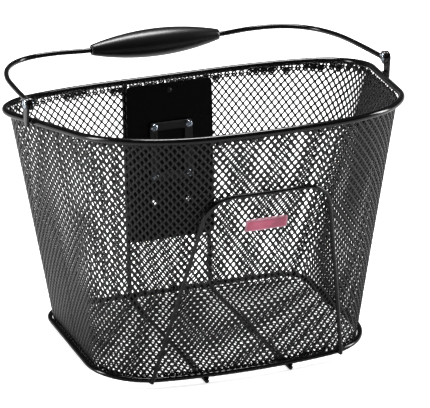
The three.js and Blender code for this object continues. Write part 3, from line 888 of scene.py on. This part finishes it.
GRIP = dict(half=67.0, middle=14.0, end=5.2, bore=2.8)
profile = [(GRIP["bore"], -GRIP["half"] + 0.5), (3.4, -GRIP["half"])]
profile.append((GRIP["end"] - 0.3, -GRIP["half"] + 0.1))
for x in np.linspace(-GRIP["half"] + 0.5, GRIP["half"] - 0.5, 57):
    profile.append((GRIP["middle"] + (GRIP["end"] - GRIP["middle"]) * (x / GRIP["half"]) ** 2, x))
profile += [(GRIP["end"] - 0.3, GRIP["half"] - 0.1), (3.4, GRIP["half"]), (GRIP["bore"], GRIP["half"] - 0.5)]
profile.append(profile[0])
verts, faces = lathe_data(profile, 72)
place = to_frame(in_bail(verts + [0, 0, REACH]))
grip = new_object("grip_spindle", place, faces, GRIP_PLASTIC, "grip", angle=50)
fix_normals(grip)
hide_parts("handle_grip")

for side, sign in (("left", -1), ("right", 1)):
    low_mid = TAB["foot"] - PIVOT_ABOVE - TAB["below"]
    over, under = np.radians(np.linspace(0, 180, 25)), np.radians(np.linspace(180, 360, 25))
    loop = [(TAB["half"] * math.cos(a), TAB["half"] * math.sin(a)) for a in over]
    loop += [(TAB["foot"] * math.cos(a), low_mid + TAB["foot"] * math.sin(a)) for a in under]
    verts, faces = sheet_piece(loop, [ring_of(0, 0, 2.9)], 0, TAB["thick"], 0.45, 3)
    # (x, depth, z) of the flat piece becomes (across, outwards, up) at the pivot
    place = np.column_stack([sign * (TAB_X + verts[:, 1]), verts[:, 0] + pivot[1], verts[:, 2] + pivot[2]])
    tab = new_object(f"bracket_{side}", to_frame(place), faces, COAT, "basket", True, 40)
    fix_normals(tab)
    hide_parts(f"handle_bracket_{side}")
    inner, outer = EYE_X - 1.8, TAB_X + TAB["thick"] + 0.3
    lip = [(1.1, 0.9), (1.3, 1.1), (3.4, 1.1), (4.0, 0.9), (4.3, 0.45), (4.3, 0)]
    rivet_round = [(r, inner - rise) for r, rise in lip] + [(2.5, inner), (2.5, outer)]
    rivet_round += [(r, outer + rise) for r, rise in lip[::-1]]
    rivet_round.append(rivet_round[0])
    verts, faces = lathe_data(rivet_round, 48)
    place = to_frame(verts * [sign, 1, 1] + pivot)
    body = new_object(f"rivet_pivot_{side}", place, faces, ZINC, angle=38)
    fix_normals(body)
    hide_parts(f"pivot_rivet_{side}")


# ---- welds -------------------------------------------------------------------------
def bead(centre, size, along=(0, 0, 1.0)):
    """A weld bead: an uneven lump of metal longest in one direction."""
    bm = bmesh.new()
    bmesh.ops.create_icosphere(bm, subdivisions=3, radius=1.0)
    turn = Vector(along).to_track_quat("Z", "Y").to_matrix()
    out = []
    phases = [random.uniform(0, 6.28) for _ in range(3)]
    for v in bm.verts:
        ripple = math.sin(4 * v.co.x + phases[1]) * math.cos(3 * v.co.y + phases[2])
        lump = 1 + 0.07 * math.sin(5 * v.co.z + phases[0]) + 0.05 * ripple
        p = Vector((v.co.x * size[0], v.co.y * size[1], v.co.z * size[2])) * lump
        out.append(np.array(turn @ p) + centre)
    faces = [tuple(v.index for v in f.verts) for f in bm.faces]
    bm.free()
    return np.array(out), faces


def rim_point(y, sign):
    return np.array([sign * rim_half_width(y), y, rim_z(y)])


beads = []
for sign in (-1, 1):
    for dy in (-5.4, 5.4):
        spot = rim_point(PIVOT_Y + dy, sign) + [sign * 3.4, 0, 0]
        beads.append(bead(spot, (1.3, 1.3, 3.0)))
    x = sign * SKID_X
    for dx in (-1.7, 1.7):
        beads.append(bead(np.array([x + dx, 3.5, SKID_TOP - 4]), (1.2, 1.2, 2.6)))
        beads.append(bead(np.array([x + dx, RING_BACK_Y + 0.6, -3.2]), (1.2, 1.8, 1.1)))
        beads.append(bead(np.array([x + dx, front_y(x, 0) + 0.2, -3.2]), (1.2, 1.8, 1.1)))
    foot_x = sign * LOOP["foot"][0]
    for dx in (-1.5, 1.5):
        beads.append(bead(np.array([foot_x + dx, front_y(foot_x, 0) - 3.2, 0.3]), (1.1, 1.1, 2.3)))
verts, faces, base = [], [], 0
for v, f in beads:
    verts.append(v)
    faces += [tuple(i + base for i in face) for face in f]
    base += len(v)
new_object("weld_beads", to_frame(np.vstack(verts)), faces, COAT, "basket")

# ---- CAD nodes that stay -------------------------------------------------------------
for name, material, width in (("adapter_plate", PLASTIC, 0.7), ("badge_clip", FRAME_COAT, 0.25),
                              ("nut_upper_left", ZINC, 0.3), ("nut_upper_right", ZINC, 0.3),
                              ("nut_lower_left", ZINC, 0.3), ("nut_lower_right", ZINC, 0.3)):
    obj = bpy.data.objects[name]
    if not obj.material_slots:
        obj.data.materials.append(material)
    for held in obj.material_slots:
        held.link = "OBJECT"
        held.material = material
    bevel = obj.modifiers.new("edges", "BEVEL")
    bevel.width = width * MM
    bevel.segments = 3
    bevel.limit_method = "ANGLE"
    bevel.angle_limit = math.radians(40)
    bevel.harden_normals = True

# ---- camera ----------------------------------------------------------------------------
AZIMUTH, ELEVATION = math.radians(-21.22), math.radians(21.61)
SENSOR, FOCAL_PIXELS, IMAGE_WIDTH = 36.0, 3777.6, 430
CAMERA_PLACE = (-1221.9, -3277.9, 1473.5)   # millimetres about the CAD's zero
camera_data = bpy.data.cameras.new("camera")
camera = bpy.data.objects.new("camera", camera_data)
bpy.context.scene.collection.objects.link(camera)
camera_data.sensor_width = SENSOR
camera_data.lens = SENSOR * FOCAL_PIXELS / IMAGE_WIDTH
camera_data.clip_end = 20
level = math.cos(ELEVATION)
back = Vector((math.sin(AZIMUTH) * level, -math.cos(AZIMUTH) * level, math.sin(ELEVATION)))
camera.location = Vector(CAMERA_PLACE) * MM + Vector(ZERO * MM)
camera.rotation_euler = (-back).to_track_quat("-Z", "Y").to_euler()
bpy.context.scene.camera = camera


# ---- floor and light ---------------------------------------------------------------------
def floor_material():
    material, tree, shader = node_material("pale_floor")
    cloud = add_noise(tree, 3.0, 2.0)
    pale = ramp(tree, cloud, 0.3, 0.7, (0.90, 0.90, 0.90, 1), (0.93, 0.93, 0.93, 1))
    shader.inputs["Roughness"].default_value = 0.9
    shader.inputs["Specular IOR Level"].default_value = 0.1
    shader.inputs["Emission Color"].default_value = (1, 1, 1, 1)
    # the camera sees a bright floor, and the object is lit by a darker one
    path = tree.nodes.new("ShaderNodeLightPath")
    tone = tree.nodes.new("ShaderNodeMix")
    tone.data_type = "RGBA"
    tone.inputs["A"].default_value = (0.55, 0.55, 0.55, 1)
    tree.links.new(path.outputs["Is Camera Ray"], tone.inputs["Factor"])
    tree.links.new(pale, tone.inputs["B"])
    tree.links.new(tone.outputs["Result"], shader.inputs["Base Color"])
    glow = tree.nodes.new("ShaderNodeMapRange")
    glow.inputs["To Min"].default_value = 0.05
    glow.inputs["To Max"].default_value = 0.8
    tree.links.new(path.outputs["Is Camera Ray"], glow.inputs["Value"])
    tree.links.new(glow.outputs["Result"], shader.inputs["Emission Strength"])
    return material


bm = bmesh.new()
bmesh.ops.create_grid(bm, x_segments=8, y_segments=8, size=6.0)
stage_mesh = bpy.data.meshes.new("floor")
bm.to_mesh(stage_mesh)
bm.free()
floor = bpy.data.objects.new("floor", stage_mesh)
floor.location.z = -0.0004
stage_mesh.materials.append(floor_material())
bpy.context.scene.collection.objects.link(floor)

world = bpy.data.worlds.new("studio")
bpy.context.scene.world = world
world.use_nodes = True
tree = world.node_tree
tree.nodes.clear()
out = tree.nodes.new("ShaderNodeOutputWorld")
path = tree.nodes.new("ShaderNodeLightPath")
mix = tree.nodes.new("ShaderNodeMixShader")
seen = tree.nodes.new("ShaderNodeBackground")
lit = tree.nodes.new("ShaderNodeBackground")
seen.inputs["Color"].default_value = (1, 1, 1, 1)
seen.inputs["Strength"].default_value = 1.05
lit.inputs["Color"].default_value = (0.96, 0.98, 1.0, 1)
lit.inputs["Strength"].default_value = 0.05
tree.links.new(path.outputs["Is Camera Ray"], mix.inputs["Fac"])
tree.links.new(lit.outputs["Background"], mix.inputs[1])
tree.links.new(seen.outputs["Background"], mix.inputs[2])
tree.links.new(mix.outputs["Shader"], out.inputs["Surface"])


def softbox(name, place, target, size, power):
    data = bpy.data.lights.new(name, "AREA")
    data.shape = "RECTANGLE"
    data.size, data.size_y = size
    data.energy = power
    lamp = bpy.data.objects.new(name, data)
    lamp.location = place
    lamp.rotation_euler = (Vector(target) - Vector(place)).to_track_quat("-Z", "Y").to_euler()
    bpy.context.scene.collection.objects.link(lamp)


softbox("overhead", (0.1, 0.5, 1.9), (0, 0, 0.1), (1.3, 0.6), 64)
softbox("left_side", (-1.7, 0.5, 0.5), (0, 0, 0.15), (0.35, 1.0), 18)
softbox("right_side", (1.7, -0.2, 0.6), (0, 0, 0.15), (0.35, 1.0), 20)
bpy.context.scene.view_settings.view_transform = "Standard"
bpy.context.scene.view_settings.look = "None"
